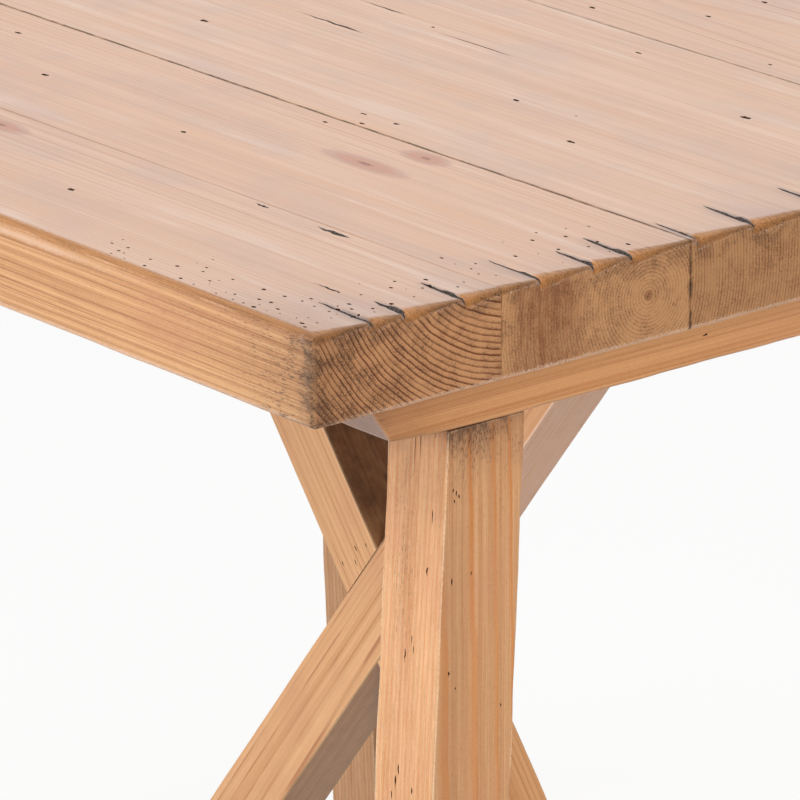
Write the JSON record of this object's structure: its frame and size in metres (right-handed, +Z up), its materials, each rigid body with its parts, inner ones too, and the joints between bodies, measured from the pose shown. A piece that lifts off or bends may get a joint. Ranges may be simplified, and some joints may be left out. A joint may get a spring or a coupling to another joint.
{
  "type": "sawbuck table",
  "caption": "Square pine dining table with a thick boarded top on splayed posts under end battens, braced by a central crossed pair of sawbuck legs.",
  "frame": {"origin": "on the floor under the middle of the top", "axes": "+Z up, +X along the boards, +Y across them along the battens"},
  "size_m": [1.047, 0.975, 0.766],
  "materials": {
    "top_pine": "waxed old pine, worn arrises",
    "base_pine": "waxed honey pine",
    "peg_wood": "plain turned hardwood",
    "spline_wood": "plain sawn",
    "screw_steel": "zinc plated",
    "glide_nylon": "moulded"
  },
  "bodies": {
    "root": {"batten_screws": "screw_steel", "board_spline_1": "spline_wood", "board_spline_2": "spline_wood", "board_spline_3": "spline_wood", "board_spline_4": "spline_wood", "board_spline_5": "spline_wood", "cleat_screws": "screw_steel", "cross_peg": "peg_wood", "end_batten_left": "base_pine", "end_batten_right": "base_pine", "glide_back_left": "glide_nylon", "glide_back_right": "glide_nylon", "glide_front_left": "glide_nylon", "glide_front_right": "glide_nylon", "glide_sawbuck_left": "glide_nylon", "glide_sawbuck_right": "glide_nylon", "leg_back_left": "base_pine", "leg_back_right": "base_pine", "leg_front_left": "base_pine", "leg_front_right": "base_pine", "leg_pegs": "peg_wood", "sawbuck_cleat_left": "base_pine", "sawbuck_cleat_right": "base_pine", "sawbuck_leg_rising_left": "base_pine", "sawbuck_leg_rising_right": "base_pine", "sawbuck_pegs": "peg_wood", "top_board_1": "top_pine", "top_board_2": "top_pine", "top_board_3": "top_pine", "top_board_4": "top_pine", "top_board_5": "top_pine", "top_board_6": "top_pine"}
  },
  "joints": []
}
